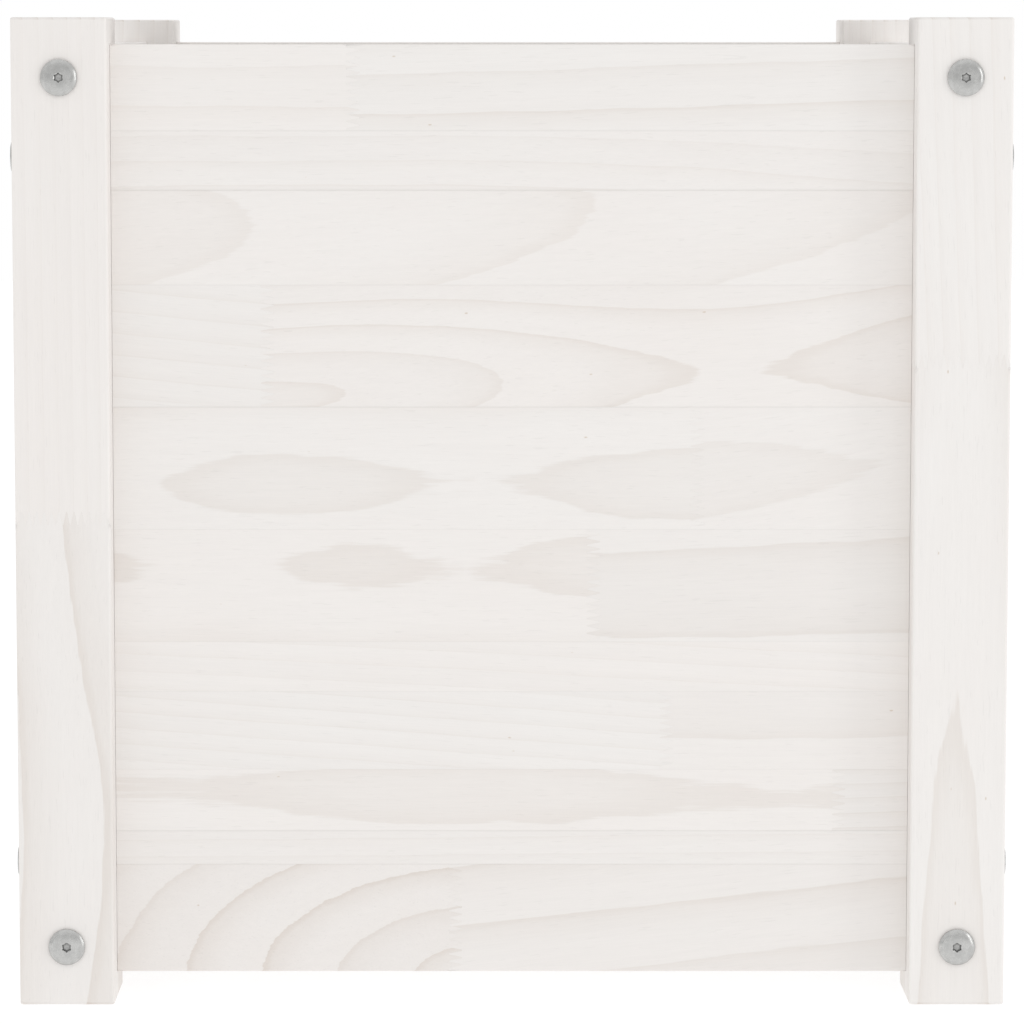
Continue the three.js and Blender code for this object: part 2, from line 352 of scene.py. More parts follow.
ended = between(t, part_year, 0.977, 1.0, 1.0, 0.0)
year = chance(t, sums(t, "FLOOR", years))
late = sums(t, "MULTIPLY_ADD", ripe, 0.4, sums(t, "MULTIPLY", ripening, 0.5))
late = sums(t, "MULTIPLY", late, ended)
late = sums(t, "MULTIPLY", late, sums(t, "MULTIPLY_ADD", year, 0.5, 0.6))
t.links.new(late, gives["Late wood"])
t.links.new(year, gives["Year"])

# Wood fibre: fine streaks along the grain, short dark resin canals, and a few pin knots.
wood_fibre, given, gives = shader_group(
    "Wood fibre",
    [("Log", "Vector")],
    [("Streaks", "Float"), ("Canals", "Float"), ("Pin knots", "Float")],
)
t = wood_fibre
coarse = noise(t, stretched(t, given["Log"], 16, 420), 3.0, 0.6)
fine = noise(t, stretched(t, given["Log"], 60, 1500), 2.0)
t.links.new(sums(t, "MULTIPLY_ADD", fine, 0.5, sums(t, "MULTIPLY", coarse, 0.5)), gives["Streaks"])
canals = between(t, noise(t, stretched(t, given["Log"], 110, 1300), 0.0), 0.72, 0.80)
t.links.new(canals, gives["Canals"])
cells = wire(t, "TexVoronoi", {"Vector": stretched(t, given["Log"], 26, 60), "Scale": 1.0})
t.links.new(between(t, cells.outputs["Distance"], 0.01, 0.034, 1.0, 0.0), gives["Pin knots"])

# White wash: a thin film, brushed on along the grain, that lies a little thicker in places.
white_wash, given, gives = shader_group(
    "White wash",
    [("Log", "Vector")],
    [("Film", "Float"), ("Brush", "Float"), ("Tint", "Color")],
)
t = white_wash
film = noise(t, stretched(t, given["Log"], 14, 30), 3.0)
t.links.new(film, gives["Film"])
t.links.new(noise(t, stretched(t, given["Log"], 9, 260), 2.0), gives["Brush"])
along = wire(t, "SeparateXYZ", (given["Log"],)).outputs[0]
log_number = sums(t, "FLOOR", sums(t, "MULTIPLY_ADD", along, 1 / LOG_SPACING, 0.5))
hue = sums(t, "MULTIPLY_ADD", chance(t, log_number), 0.6, sums(t, "MULTIPLY_ADD", film, 0.8, -0.2))
feeds = {0: hue, 6: (1.008, 0.998, 0.994, 1), 7: (0.992, 1.002, 1.006, 1)}
tint = wire(t, "Mix", feeds, data_type="RGBA")
t.links.new(tint.outputs[2], gives["Tint"])


def washed_pine(name, early, late, knot):
    """Pine under a thin white wash: the growth rings, fibre and glue lines just show through."""
    material = bpy.data.materials.new(name)
    material.use_nodes = True
    t = material.node_tree
    finish = t.nodes["Principled BSDF"]

    def mark(label, output="Fac"):
        return wire(t, "Attribute", attribute_name=label).outputs[output]

    log = mark("log", "Vector")
    feeds = {"Log": log, "Ring width": mark("ring"), "Wander": mark("wander")}
    rings = placed(t, growth_rings, feeds)
    fibre = placed(t, wood_fibre, {"Log": log})
    wash = placed(t, white_wash, {"Log": log})
    end = mark("end")
    figure = sums(t, "MULTIPLY_ADD", end, 1.2, mark("figure"))
    depth = sums(t, "MULTIPLY", rings["Late wood"], figure)
    wood = wire(t, "Mix", {0: depth, 6: early, 7: late}, data_type="RGBA", clamp_factor=False)
    wood = wire(t, "Mix", {0: fibre["Pin knots"], 6: wood.outputs[2], 7: knot}, data_type="RGBA")
    seams = wire(t, "SeparateXYZ", (mark("seams", "Vector"),))
    seam = between(t, sums(t, "MINIMUM", seams.outputs[0], seams.outputs[1]), 0.0, 1.0, 1.0, 0.0)
    value = sums(t, "MULTIPLY_ADD", mark("tone"), 0.02, 1.0)
    value = sums(t, "MULTIPLY_ADD", sums(t, "SUBTRACT", rings["Year"], 0.5), 0.012, value)
    value = sums(t, "MULTIPLY_ADD", sums(t, "SUBTRACT", fibre["Streaks"], 0.5), 0.085, value)
    value = sums(t, "MULTIPLY_ADD", sums(t, "SUBTRACT", wash["Film"], 0.5), 0.03, value)
    value = sums(t, "MULTIPLY_ADD", fibre["Canals"], -0.035, value)
    value = sums(t, "MULTIPLY_ADD", seam, -0.035, value)
    value = sums(t, "MULTIPLY_ADD", mark("glue"), -0.06, value)
    value = sums(t, "MULTIPLY_ADD", end, -0.05, value)
    # The eased edges are made 2% paler: partly wear of the wash, partly a painted highlight along
    # the arrises.
    value = sums(t, "MULTIPLY_ADD", mark("arris"), 0.02, value)
    shade = wire(t, "VectorMath", (wood.outputs[2], wash["Tint"]), operation="MULTIPLY")
    shade = wire(t, "VectorMath", {0: shade.outputs[0], "Scale": value}, operation="SCALE")
    t.links.new(shade.outputs[0], finish.inputs["Base Color"])
    rough = sums(t, "MULTIPLY_ADD", wash["Film"], 0.16, 0.56)
    rough = sums(t, "MULTIPLY_ADD", rings["Late wood"], -0.06, rough)
    t.links.new(rough, finish.inputs["Roughness"])
    height = sums(t, "MULTIPLY_ADD", wash["Brush"], 0.6, fibre["Streaks"])
    height = sums(t, "MULTIPLY_ADD", rings["Late wood"], 0.5, height)
    height = sums(t, "MULTIPLY_ADD", fibre["Canals"], -0.5, height)
    bump = wire(t, "Bump", {"Strength": 0.35, "Distance": 0.00012, "Height": height})
    t.links.new(bump.outputs[0], finish.inputs["Normal"])
    finish.inputs["Specular IOR Level"].default_value = 0.3
    return material


EARLY_WOOD = (0.88, 0.851, 0.826, 1)
LATE_WOOD = (0.812, 0.768, 0.73, 1)
KNOT = (0.71, 0.63, 0.55, 1)
pine = washed_pine("Whitewashed pine", EARLY_WOOD, LATE_WOOD, KNOT)


def fitted(name, mesh, material, node=None, place=Matrix()):
    """A finished piece in its place in the planter, standing for the CAD node that it replaces."""
    piece = bpy.data.objects.new(name, mesh)
    bpy.context.scene.collection.objects.link(piece)
    if not mesh.materials:
        mesh.materials.append(material)
    piece.matrix_world = place
    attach(piece, "root")
    if node:
        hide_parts(node)


# Where each post's two lengths meet, and how each was sawn from its log, lower length first.
POSTS = {
    "front_left": (249, [
        dict(tone=-0.4, figure=1.3, ring=26, pith=-60, lean=0, depth=55.2,
             swell=10, wave=460, crest=85),
        dict(tone=0.0, figure=0.25, ring=6, pith=60, lean=0.004, depth=-40),
    ]),
    "front_right": (328, [
        dict(tone=0.3, figure=1.0, ring=13, pith=2, lean=0, depth=34.5, taper=0.0285),
        dict(tone=0.5, figure=0.4, ring=7, pith=-70, lean=0.06, depth=30, taper=0.02),
    ]),
    "rear_left": (180, [
        dict(tone=0.0, figure=0.8, ring=9, pith=-40, lean=0.02, depth=60, taper=-0.05),
        # Its tone is raised a little: painted light on the top of the rear left post.
        dict(tone=0.5, figure=0.6, ring=8, pith=35, lean=-0.02, depth=-30, taper=0.03),
    ]),
    "rear_right": (290, [
        dict(tone=-0.2, figure=1.0, ring=10, pith=20, lean=-0.03, depth=70, taper=0.06),
        # Its tone of 2.5 is painted light: it makes the top of the rear right post paler, as if
        # better lit.
        dict(tone=2.5, figure=0.4, ring=7, pith=-55, lean=0.01, depth=10, taper=-0.02),
    ]),
}
# A post is built lying along X. This stands it up, with its -Y face still to the front.
UPRIGHT = Matrix(((0, 0, -1), (0, 1, 0), (1, 0, 0))).to_4x4()
TO_METRES = Matrix.Scale(0.001, 4)

for number, (place, (joint, logs)) in enumerate(POSTS.items()):
    lengths = []
    across = (-POST / 2, POST / 2)
    spans = (((0, joint), {"right": PLAIN_GLUE}), ((joint, HEIGHT), {"left": PLAIN_GLUE}))
    for (span, ends), log in zip(spans, logs):
        timber = sawn_board(board_outline(span, across, **ends), POST, POST_EASE)
        drills = []
        for x in (FRONT_BOLT_INSET, HEIGHT - FRONT_BOLT_INSET):
            if span[0] < x < span[1]:
                drills.append(bore(BOLT_BORE / 2, (x, -POST, 0), (x, POST, 0)))
        for x in (SIDE_BOLT_INSET, HEIGHT - SIDE_BOLT_INSET):
            if span[0] < x < span[1]:
                drills.append(bore(BOLT_BORE / 2, (x, 0, -POST), (x, 0, POST)))
        timber = drilled(timber, drills)
        lengths.append(sawn_from_log(timber, 2 * number + len(lengths), **log))
    post = joined(lengths)
    post.transform(UPRIGHT)
    side_x = -1 if place.endswith("left") else 1
    side_y = -1 if place.startswith("front") else 1
    centre = (WIDTH - POST) / 2
    post.transform(TO_METRES @ Matrix.Translation((side_x * centre, side_y * centre, 0)))
    fitted(f"{place}_post", post, pine, f"post_{place}")


# ---- Board panels ----
# Each panel is one 15 mm board, glued up edge to edge from pine staves that are finger-jointed end
# to end. It stands between two posts, half way into their thickness. From its inner face two blind
# holes at each end cross the bores that the bolts come in by.

PANEL_HALF = 201.9
PANEL_THICKNESS = 15
PANEL_FOOT = 13.5
PANEL_HEAD = 486.5
PANEL_EASE = 0.8
END_CHAMFER = 0.05
NUT_HOLE = 10.6
NUT_SETBACK = 30
NUT_COVER = 2.2
BOLT_REACH = 37.8

# The front panel's rows from the foot up: where each ends, the glue line above it, where its
# finger joint is, and how its staves were sawn, left one first.
FRONT_ROWS = [
    (69.3, 0.025, -28.7, [
        dict(tone=-1.4, figure=1.7, ring=20, pith=8, lean=0, depth=-7.3, taper=-0.526),
        dict(tone=-1.1, figure=1.0, ring=31, pith=-52.8, lean=0.115, depth=0),
    ]),
    (86.6, 0.035, None, [
        dict(tone=-0.7, figure=0.35, ring=9, pith=-60, lean=0.01, depth=10, taper=0.02),
    ]),
    (118.4, PLAIN_GLUE, 166.8, [
        dict(tone=0.0, figure=1.1, ring=20, pith=107, lean=-0.005, depth=38.35,
             swell=1.65, wave=340, crest=139),
        dict(tone=-0.9, figure=0.8, ring=7, pith=20, lean=0.03, depth=30),
    ]),
    (158.5, PLAIN_GLUE, 78.7, [
        dict(tone=0.0, figure=0.5, ring=8, pith=260, lean=-0.07, depth=20),
        dict(tone=-0.4, figure=1.0, ring=32, pith=184.7, lean=0, depth=40),
    ]),
    (184.0, PLAIN_GLUE, None, [
        dict(tone=0.1, figure=0.4, ring=9, pith=330, lean=-0.05, depth=0),
    ]),
    (241.5, PLAIN_GLUE, 41.4, [
        dict(tone=0.0, figure=1.2, ring=20, pith=221, lean=0, depth=38.7, taper=-0.006,
             swell=1.3, wave=130, crest=-21),
        dict(tone=-0.5, figure=1.2, ring=20, pith=207, lean=0.03, depth=33.9, taper=-0.012),
    ]),
    (303.8, 0.035, 93.9, [
        dict(tone=0.1, figure=1.1, ring=20, pith=265.5, lean=0, depth=37.7, taper=-0.012,
             swell=2.2, wave=215, crest=-18),
        dict(tone=0.0, figure=0.7, ring=20, pith=254.5, lean=0.115, depth=28.3, taper=0.0625),
    ]),
    (365.6, 0.02, -123.5, [
        dict(tone=-0.1, figure=0.5, ring=11, pith=420, lean=-0.1, depth=0),
        dict(tone=0.0, figure=1.0, ring=12, pith=316, lean=0.06, depth=22.2,
             swell=14.1, wave=500, crest=111.5),
    ]),
    (413.4, STRONG_GLUE, None, [
        dict(tone=0.3, figure=0.6, ring=14, pith=402.4, lean=0.046, depth=94.7, taper=0.0845),
    ]),
    (443.2, 0.025, None, [
        dict(tone=0.2, figure=0.5, ring=12.3, pith=380, lean=0, depth=19.9,
             swell=-14.9, wave=700, crest=-92),
    ]),
    (PANEL_HEAD, None, -80.0, [
        dict(tone=0.7, figure=0.6, ring=20, pith=376, lean=0, depth=8),
        dict(tone=0.4, figure=1.0, ring=20, pith=374, lean=0.03, depth=8),
    ]),
]


def any_stave(draw, low, high):
    """How a stave came out of its log, where the photograph doesn't say."""
    tone, middle = draw.uniform(-0.8, 0.5), (low + high) / 2
    if draw.random() < 0.45:
        side = draw.choice((-1, 1)) * draw.uniform(50, 120)
        return dict(
            tone=tone, figure=draw.uniform(0.35, 0.8), ring=draw.uniform(6, 12), wander=0.3,
            pith=middle + side, lean=draw.uniform(-0.08, 0.08), depth=draw.uniform(-20, 40),
        )
    return dict(
        tone=tone, figure=draw.uniform(0.7, 1.4), ring=draw.uniform(10, 18), wander=0.3,
        pith=middle + draw.uniform(-16, 16), lean=draw.uniform(-0.05, 0.05),
        depth=draw.uniform(30, 110), taper=draw.uniform(-0.09, 0.09),
        swell=draw.uniform(0, 5), wave=draw.uniform(180, 500), crest=draw.uniform(-200, 200),
    )


def any_rows(draw):
    """A panel's rows of staves, of the widths and with the joints that such boards have."""
    rows, low = [], PANEL_FOOT
    while low < PANEL_HEAD:
        high = low + draw.choice((30, 42, 48, 56, 60, 62))
        if PANEL_HEAD - high < 26:
            high = PANEL_HEAD
        joint = draw.uniform(-165, 165) if draw.random() < 0.75 else None
        glues = (PLAIN_GLUE, 0.025, 0.035, STRONG_GLUE)
        glue = None if high == PANEL_HEAD else draw.choice(glues)
        staves = [any_stave(draw, low, high) for _ in range(1 if joint is None else 2)]
        rows.append((high, glue, joint, staves))
        low = high
    return rows


def panel_drills(span, low, high, heights):
    """The bolt bores and nut holes that reach into the stave of this span and these edges."""
    drills = []
    face = PANEL_THICKNESS / 2
    for z in heights:
        for side in (-1, 1):
            at_end = side * span[side > 0] > PANEL_HALF - 1
            if at_end and low - NUT_HOLE / 2 < z < high + NUT_HOLE / 2:
                end, nut = side * PANEL_HALF, side * (PANEL_HALF - NUT_SETBACK)
                reach = end - side * BOLT_REACH
                drills.append(bore(BOLT_BORE / 2, (end + side, 0, z), (reach, 0, z)))
                drills.append(bore(NUT_HOLE / 2, (nut, NUT_COVER - face, z), (nut, face + 1, z)))
    return drills


def glued_panel(rows, heights, number):
    """A panel in the front one's place, with bores and nut holes for bolts at these heights."""
    staves, low, below = [], PANEL_FOOT, None
    for high, above, joint, logs in rows:
        spans = [((-PANEL_HALF, PANEL_HALF), {})]
        if joint is not None:
            spans = [
                ((-PANEL_HALF, joint), {"right": PLAIN_GLUE}),
                ((joint, PANEL_HALF), {"left": PLAIN_GLUE}),
            ]
        lines = ((low, below), (high, above))
        for (span, ends), log in zip(spans, logs):
            width = (low, high)
            outline = board_outline(span, width, below=below, above=above, cut=END_CHAMFER, **ends)
            stave = sawn_board(outline, PANEL_THICKNESS, PANEL_EASE)
            stave = drilled(stave, panel_drills(span, low, high, heights))
            staves.append(sawn_from_log(stave, number + len(staves), lines=lines, **log))
        low, below = high, above
    panel = joined(staves)
    panel.transform(Matrix.Translation((0, -(WIDTH - POST) / 2, 0)))
    return panel


for quarter, face in enumerate(("front", "right", "rear", "left")):
    inset = FRONT_BOLT_INSET if quarter % 2 else SIDE_BOLT_INSET
    rows = any_rows(random.Random(50 + quarter)) if quarter else FRONT_ROWS
    panel = glued_panel(rows, (inset, HEIGHT - inset), 20 * (quarter + 1))
    panel.transform(TO_METRES @ Matrix.Rotation(quarter * math.pi / 2, 4, "Z"))
    fitted(f"{face}_panel", panel, pine, f"panel_{face}")


# ---- Connector bolts ----
# M6 connector bolts of zinc-plated steel, with flat bevelled heads and 4 mm hexagon sockets. They
# are turned and rolled, and each goes through a post and into a panel's end, to its barrel nut.

HEAD_RADIUS = 9.2
HEAD_HEIGHT = 2.195
BOLT_LENGTH = 85
BOLT_STAND = 250.3
THREAD_PITCH = 1.0


def hexagon(across_flats):
    def radius(angle, _):
        return across_flats / 2 / math.cos((angle + math.pi / 6) % (math.pi / 3) - math.pi / 6)
    return radius


def thread(core, crest, pitch):
    def radius(angle, y):
        climb = abs(2 * ((y / pitch + angle / (2 * math.pi)) % 1) - 1)
        return core + (crest - core) * min(1, max(0, 1.3 * climb - 0.1))
    return radius


flight = thread(2.45, 2.98, THREAD_PITCH)
bolt_profile = [
    (0, 0.85, 96),
    (hexagon(2.9), 0.5, 96),
    (hexagon(4), 0.1, 96),
    (hexagon(4), -1.88, 96),
    (2.45, -HEAD_HEIGHT, 96),
    (7.38, -HEAD_HEIGHT, 96),
    (7.5, -2.15, 96),
    (9.1, -1.15, 96),
    (HEAD_RADIUS, -1.0, 96),
    (HEAD_RADIUS, -0.06, 96),
    (9.1, 0, 96),
    (3.2, 0, 24),
    (2.98, 0.25, 24),
    (2.98, 52, 24),
]
bolt_profile += [(flight, 52.2 + 0.2 * k, 24) for k in range(158)]
bolt_profile += [(2.1, BOLT_LENGTH - 0.1, 24), (1.9, BOLT_LENGTH, 24), (0, BOLT_LENGTH, 24)]
bolt_mesh = turned(bolt_profile)

# Turned marks: the fine rings that a lathe or header leaves round the axis of a turned piece.
turned_marks, given, gives = shader_group(
    "Turned marks", [("Place", "Vector")], [("Marks", "Float")]
)
t = turned_marks
flat = wire(t, "VectorMath", (given["Place"], (1, 0, 1)), operation="MULTIPLY").outputs[0]
out = wire(t, "VectorMath", (flat,), operation="LENGTH").outputs["Value"]
feeds = {"W": sums(t, "MULTIPLY", out, 5200), "Scale": 1.0, "Detail": 2.0, "Roughness": 0.6}
t.links.new(wire(t, "TexNoise", feeds, noise_dimensions="1D").outputs["Fac"], gives["Marks"])

# Zinc bloom: the cloudy patches and tiny grain of electroplated zinc.
zinc_bloom, given, gives = shader_group(
    "Zinc bloom", [("Place", "Vector")], [("Cloud", "Float"), ("Grain", "Float")]
)
t = zinc_bloom
t.links.new(noise(t, stretched(t, given["Place"], 260, 260), 3.0), gives["Cloud"])
t.links.new(noise(t, stretched(t, given["Place"], 3500, 3500), 2.0), gives["Grain"])


def mark_recess_shade(mesh, inside):
    """Marks the faces of a socket or a slot, which get painted shade and duller, rougher plating.
    """
    layer = mesh.attributes.new("recess", "FLOAT", "FACE")
    layer.data.foreach_set("value", [float(inside(*face.center)) for face in mesh.polygons])
    return mesh


def zinc_plate(name, colour, marks):
    """Zinc plate over turned steel, clouded, finely grained and marked round its axis."""
    material = bpy.data.materials.new(name)
    material.use_nodes = True
    t = material.node_tree
    finish = t.nodes["Principled BSDF"]
    place = wire(t, "TexCoord").outputs["Object"]
    bloom = placed(t, zinc_bloom, {"Place": place})
    lines = placed(t, turned_marks, {"Place": place})["Marks"]
    value = between(t, bloom["Cloud"], 0.3, 0.7, 0.9, 1.06)
    value = sums(t, "MULTIPLY_ADD", sums(t, "SUBTRACT", lines, 0.5), 0.3 * marks, value)
    value = sums(t, "MULTIPLY_ADD", sums(t, "SUBTRACT", bloom["Grain"], 0.5), 0.16, value)
    # Painted shade: faces marked as a recess are darkened, and their plating is made rougher.
    recess = wire(t, "Attribute", attribute_name="recess").outputs["Fac"]
    value = sums(t, "MULTIPLY_ADD", recess, -0.38, value)
    shade = wire(t, "VectorMath", {0: colour, "Scale": value}, operation="SCALE")
    t.links.new(shade.outputs[0], finish.inputs["Base Color"])
    rough = sums(t, "MULTIPLY_ADD", bloom["Cloud"], 0.14, 0.15)
    rough = sums(t, "MULTIPLY_ADD", lines, 0.08, sums(t, "MULTIPLY_ADD", recess, 0.2, rough))
    t.links.new(rough, finish.inputs["Roughness"])
    height = sums(t, "MULTIPLY_ADD", lines, marks, sums(t, "MULTIPLY", bloom["Grain"], 0.4))
    bump = wire(t, "Bump", {"Strength": 0.3, "Distance": 0.00005, "Height": height})
    t.links.new(bump.outputs[0], finish.inputs["Normal"])
    finish.inputs["Metallic"].default_value = 1.0
    return material


bright_zinc = zinc_plate("Zinc plate", (0.535, 0.535, 0.525), 1.0)


def each_corner(side_inset, front_inset):
    """The sixteen places of the bolts or the nuts: name, turn of the face, side and height."""
    faces = (("front", "left", "right"), ("right", "front", "rear"))
    faces += (("rear", "right", "left"), ("left", "rear", "front"))
    for quarter, (face, *ends) in enumerate(faces):
        inset = side_inset if quarter % 2 else front_inset
        turn = Matrix.Rotation(quarter * math.pi / 2, 4, "Z")
        for end, side in zip(ends, (-1, 1)):
            for level, z in (("lower", inset), ("upper", HEIGHT - inset)):
                yield f"{face}_{end}_{level}", turn, side, z


def socket_shade(x, y, z):
    """Painted shade in the bolt's socket: full in the socket, and weak in the cone at its foot."""
    return (math.hypot(x, z) < 2.6) * ((-1.9 < y < 0.45) + 0.3 * (0.45 < y < 0.9))


# Painted shade in the bolt's socket.
mark_recess_shade(bolt_mesh, socket_shade)
bolt_mesh.transform(TO_METRES)
for corner, turn, side, z in each_corner(SIDE_BOLT_INSET, FRONT_BOLT_INSET):
    at = Vector((side * (WIDTH - POST) / 2, -BOLT_STAND, z))
    place = turn @ Matrix.Translation(at * 0.001)
    fitted(f"{corner}_bolt", bolt_mesh, bright_zinc, f"bolt_{corner}", place)


# ---- Barrel nuts ----
# 10 mm barrels of zinc-plated steel with a cross thread for the bolt. They drop into the blind
# holes in the panels' inner faces, and the slot in the end turns them to meet the bolt.

NUT_SINK = 0.5

nut_profile = [(0, -12), (4.3, -12), (5, -11.4), (5, -0.7), (4.85, -0.3), (4.4, 0), (0, 0)]
nut_slot = bpy.data.meshes.new("slot")
corners = [(x, y, z) for x in (-6, 6) for y in (-1.6, 1) for z in (-0.7, 0.7)]
sides = [(0, 1, 3, 2), (4, 6, 7, 5), (0, 4, 5, 1), (2, 3, 7, 6), (0, 2, 6, 4), (1, 5, 7, 3)]
nut_slot.from_pydata(corners, [], sides)
nut_barrel = turned([(radius, y, 48) for radius, y in nut_profile])
nut_barrel.transform(Matrix.Rotation(math.pi / 48, 4, "Y"))
nut_mesh = drilled(nut_barrel, [bore(3.3, (-6, -7, 0), (6, -7, 0)), nut_slot])
# Painted shade in the nut's slot.
mark_recess_shade(nut_mesh, lambda x, y, z: abs(x) < 4.6 and abs(z) < 0.75 and -1.65 < y < -0.01)
nut_mesh.transform(TO_METRES)
nut_zinc = zinc_plate("Nut zinc", (0.46, 0.455, 0.44), 0.6)
for corner, turn, side, z in each_corner(FRONT_BOLT_INSET, SIDE_BOLT_INSET):
    y = -(WIDTH - POST) / 2 + PANEL_THICKNESS / 2 - NUT_SINK
    place = turn @ Matrix.Translation(Vector((side * (PANEL_HALF - NUT_SETBACK), y, z)) * 0.001)
    node = f"barrel_nut_{corner}"
    fitted(f"{corner}_barrel_nut", nut_mesh, nut_zinc, node, place)


# ---- Floor cleats ----
# Two pine battens are glued and pinned along the inside of the front and rear panels. They carry
# the floor. A round-headed steel pin every 92 mm holds each while its glue sets.

CLEAT_DEPTH = 20
CLEAT_HEIGHT = 25
CLEAT_BASE = 18.5
CLEAT_HALF = 200
CLEAT_MIDDLE = 208.2
SLAT_THICKNESS = 15
SLAT_PITCH = 73.6667
SLAT_WIDTH = 65.6667
SLAT_TOP = 58.8
SLAT_MIDDLES = [(i - 2.5) * SLAT_PITCH for i in range(6)]
PIN_COUNT = 5
PIN_PITCH = 92


def screw_hole(at, direction):
    """A countersunk drill whose mouth is at this point, for drilled()."""
    profile = [(0, -1), (4.3, -1), (4.3, 0), (2.3, 2), (2.3, 31.3), (0, 31.3)]
    drill = turned([(radius, y, 32) for radius, y in profile])
    turn = Vector(direction).to_track_quat("Y", "Z").to_matrix().to_4x4()
    drill.transform(Matrix.Translation(at) @ turn)
    return drill


pin_profile = [(0, -0.22), (0.5, -0.2), (0.8, -0.08), (0.85, 0)]
pin_profile += [(0.85, 0.3), (0.55, 0.45), (0.55, 28), (0, 29)]
pin_mesh = turned([(radius, y, 20) for radius, y in pin_profile])
pin_mesh.transform(TO_METRES)
for number, (row, side) in enumerate((("front", -1), ("rear", 1))):
    span, width = (-CLEAT_HALF, CLEAT_HALF), (CLEAT_BASE, CLEAT_BASE + CLEAT_HEIGHT)
    batten = sawn_board(board_outline(span, width), CLEAT_DEPTH, 1)
    batten = drilled(batten, [screw_hole((x, 0, SLAT_TOP), (0, 0, -1)) for x in SLAT_MIDDLES])
    log = dict(tone=-0.3, figure=0.8, ring=5, pith=-10 + 60 * number, lean=0.02, depth=25)
    sawn_from_log(batten, 110 + number, **log)
    batten.transform(TO_METRES @ Matrix.Translation((0, side * CLEAT_MIDDLE, 0)))
    fitted(f"{row}_cleat", batten, pine, f"floor_cleat_{row}")
    for i in range(PIN_COUNT):
        x = (i - (PIN_COUNT - 1) / 2) * PIN_PITCH + 4
        at = Vector((x, side * (CLEAT_MIDDLE - CLEAT_DEPTH / 2), 31 + 2 * (-1) ** i))
        place = Matrix.Translation(at * 0.001) @ Matrix.Rotation(math.pi * (side < 0), 4, "Z")
        name = f"{row}_cleat_pin_{i + 1}"
        fitted(name, pin_mesh, bright_zinc, place=place)


# ---- Floor slats ----
# Six pine slats lie from front to rear on the cleats, with gaps that drain. The outer two are
# notched at their corners, to go round the posts, and each end is bored for one screw.

SLAT_HALF = 217
NOTCH = 200.5

for i, middle in enumerate(SLAT_MIDDLES):
    # Built lying along X with its upper side at -Y, so that z runs to the planter's left.
    low, high = -SLAT_WIDTH / 2, SLAT_WIDTH / 2
    if i in (0, 5):
        reach = NOTCH - abs(middle)
        if i == 0:
            corners = [
                (-SLAT_HALF, low), (SLAT_HALF, low), (SLAT_HALF, reach), (NOTCH, reach),
                (NOTCH, high), (-NOTCH, high), (-NOTCH, reach), (-SLAT_HALF, reach),
            ]
        else:
            corners = [
                (-SLAT_HALF, -reach), (-NOTCH, -reach), (-NOTCH, low), (NOTCH, low),
                (NOTCH, -reach), (SLAT_HALF, -reach), (SLAT_HALF, high), (-SLAT_HALF, high),
            ]
        outline = ([(*corner, None) for corner in corners], [], [])
    else:
        outline = board_outline((-SLAT_HALF, SLAT_HALF), (low, high))
    plank = sawn_board(outline, SLAT_THICKNESS, 1)
    ends = (-CLEAT_MIDDLE, CLEAT_MIDDLE)
    plank = drilled(plank, [screw_hole((x, -SLAT_THICKNESS / 2, 0), (0, 1, 0)) for x in ends])
    draw = random.Random(70 + i)
    sawn_from_log(plank, 120 + i, **{**any_stave(draw, low, high), "swell": 0})
    lying = Matrix(((0, 0, -1), (1, 0, 0), (0, -1, 0))).to_4x4()
    height = SLAT_TOP - SLAT_THICKNESS / 2
    plank.transform(TO_METRES @ Matrix.Translation((middle, 0, height)) @ lying)
    fitted(f"slat_{i + 1}", plank, pine, f"floor_slat_{i + 1}")


# ---- Slat screws ----
# Countersunk 4 mm wood screws of zinc-plated steel with cross recesses, one at each end of each
# slat. They go down through the slat and into the cleat.

def recess(span, width, depth):
    """One slot of the cross, narrower at its foot."""
    slot = bpy.data.meshes.new("recess")
    levels = ((-depth, span * 0.4, width * 0.7), (0.5, span, width))
    corners = [(x, y, z) for y, s, w in levels for x in (-s, s) for z in (-w, w)]
    sides = [(0, 2, 3, 1), (4, 5, 7, 6), (0, 1, 5, 4), (2, 6, 7, 3), (0, 4, 6, 2), (1, 3, 7, 5)]
    slot.from_pydata(corners, [], sides)
    return slot


flight = thread(1.3, 1.98, 1.8)
screw_profile = [(0, 0, 48), (3.8, 0, 48), (4, -0.12, 48), (4, -0.3, 48)]
screw_profile += [(1.9, -2.3, 24), (1.5, -3, 24), (1.5, -9, 24)]
screw_profile += [(flight, -9.3 - 0.3 * k, 24) for k in range(56)]
screw_profile += [(thread(0.7, 1.3, 1.8), -27.5, 24), (0.5, -29.5, 24), (0, -31, 24)]
screw_mesh = turned(screw_profile)
screw_mesh.flip_normals()
slots = [recess(2.1, 0.5, 1.7), recess(2.1, 0.5, 1.7)]
slots[1].transform(Matrix.Rotation(math.pi / 2, 4, "Y"))
screw_mesh = drilled(screw_mesh, slots)
# Painted shade in the screw's cross recess.
mark_recess_shade(screw_mesh, lambda x, y, z: math.hypot(x, z) < 2.2 and -1.72 < y < -0.02)
screw_mesh.transform(TO_METRES @ Matrix.Rotation(math.pi / 2, 4, "X"))
screw_zinc = zinc_plate("Screw zinc", (0.52, 0.50, 0.42), 0.5)
for i, middle in enumerate(SLAT_MIDDLES):
    for row, side in (("front", -1), ("rear", 1)):
        at = Vector((middle, side * CLEAT_MIDDLE, SLAT_TOP)) * 0.001
        turn = Matrix.Rotation(math.radians(37 * i + 20 * side), 4, "Z")
        name, node = f"{row}_screw_{i + 1}", f"slat_screw_{row}_{i + 1}"
        place = Matrix.Translation(at) @ turn
        fitted(name, screw_mesh, screw_zinc, node, place)


# ---- Floor, lights and camera ----
# The planter stands on a white table that is lit from below, in a white room. A tall soft light
# at the right shades the panel beside the right post. The camera stands in front.

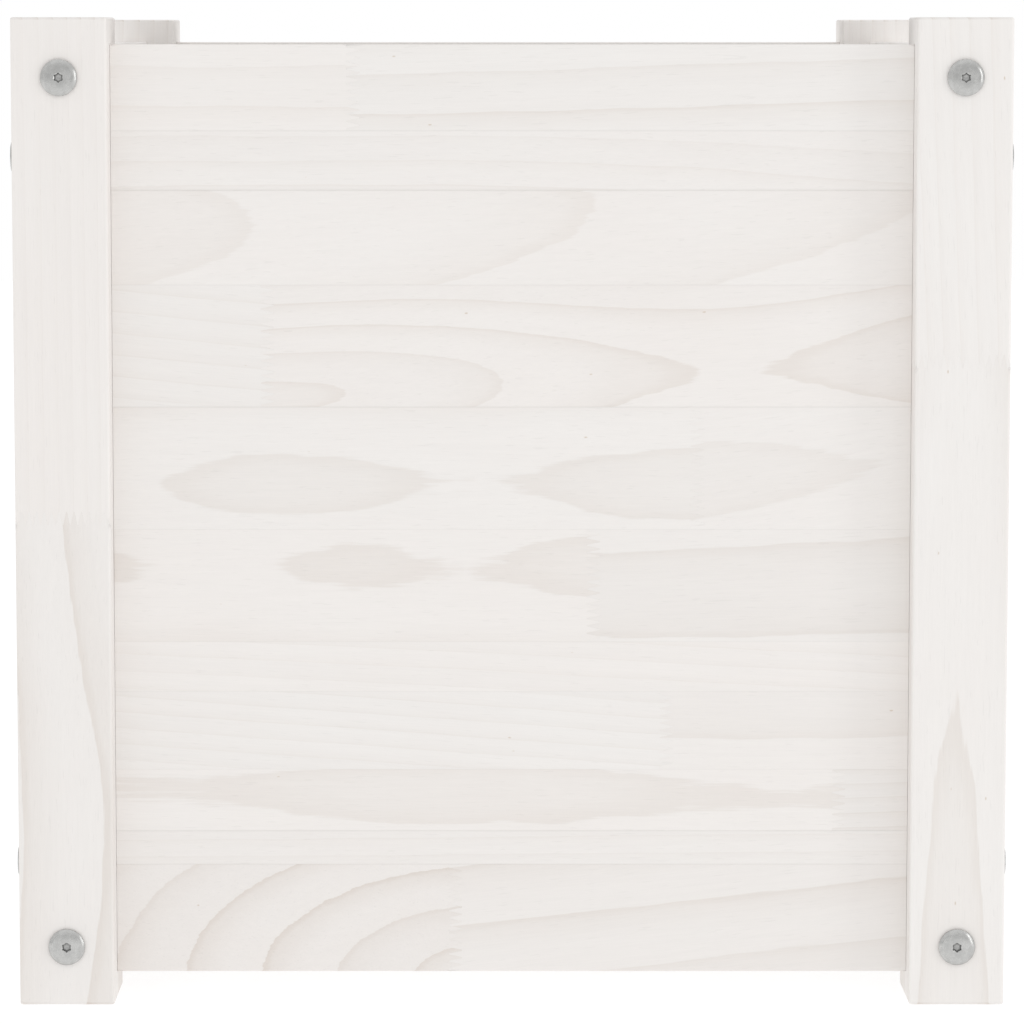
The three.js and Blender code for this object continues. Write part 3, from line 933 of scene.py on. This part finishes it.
table_mesh = bpy.data.meshes.new("table")
corners = [(x, y, -0.0003) for x, y in ((-6, -6), (6, -6), (6, 6), (-6, 6))]
table_mesh.from_pydata(corners, [], [(0, 1, 2, 3)])
table = bpy.data.objects.new("white_table", table_mesh)
bpy.context.scene.collection.objects.link(table)
paper = bpy.data.materials.new("White paper")
paper.use_nodes = True
t = paper.node_tree
finish = t.nodes["Principled BSDF"]
spot = wire(t, "TexCoord").outputs["Object"]
mottle = between(t, noise(t, stretched(t, spot, 3, 3), 3.0), 0.3, 0.7, 0.285, 0.3)
t.links.new(mottle, finish.inputs["Base Color"])
finish.inputs["Roughness"].default_value = 0.9
finish.inputs["Specular IOR Level"].default_value = 0.0
finish.inputs["Emission Color"].default_value = (1, 1, 1, 1)
finish.inputs["Emission Strength"].default_value = 0.79
table_mesh.materials.append(paper)

room = bpy.data.worlds.new("White room")
bpy.context.scene.world = room
room.use_nodes = True
t = room.node_tree
sky = t.nodes["Background"]
way = wire(t, "SeparateXYZ", (wire(t, "TexCoord").outputs["Generated"],))
lit = sums(t, "MULTIPLY_ADD", way.outputs["Z"], 0.25, 0.73)
lit = sums(t, "MULTIPLY_ADD", way.outputs["Y"], -0.03, lit)
shown = sums(t, "MAXIMUM", lit, wire(t, "LightPath").outputs["Is Camera Ray"])
t.links.new(shown, sky.inputs["Strength"])
sky.inputs["Color"].default_value = (1, 1, 1, 1)

lamp = bpy.data.lights.new("Soft box", "AREA")
lamp.shape, lamp.size, lamp.size_y, lamp.energy = "RECTANGLE", 0.45, 1.6, 5
soft_box = bpy.data.objects.new("Soft box", lamp)
bpy.context.scene.collection.objects.link(soft_box)
turn, rise = math.radians(61), math.radians(12)
towards = Vector((math.sin(turn), -math.cos(turn), math.tan(rise))).normalized()
soft_box.location = Vector((0, 0, 0.25)) + 2.5 * towards
soft_box.rotation_euler = towards.to_track_quat("Z", "Y").to_euler()

lens = bpy.data.cameras.new("Camera")
lens.lens, lens.sensor_width = 147.77, 36
lens.shift_x, lens.shift_y = 0.0215, -0.08
lens.clip_end = 100
camera = bpy.data.objects.new("Camera", lens)
bpy.context.scene.collection.objects.link(camera)
camera.location = (-0.0111, -2.351, 0.4926)
camera.rotation_euler = (math.radians(90 - 5.409), 0, 0)
bpy.context.scene.camera = camera
bpy.context.scene.view_settings.view_transform = "Standard"
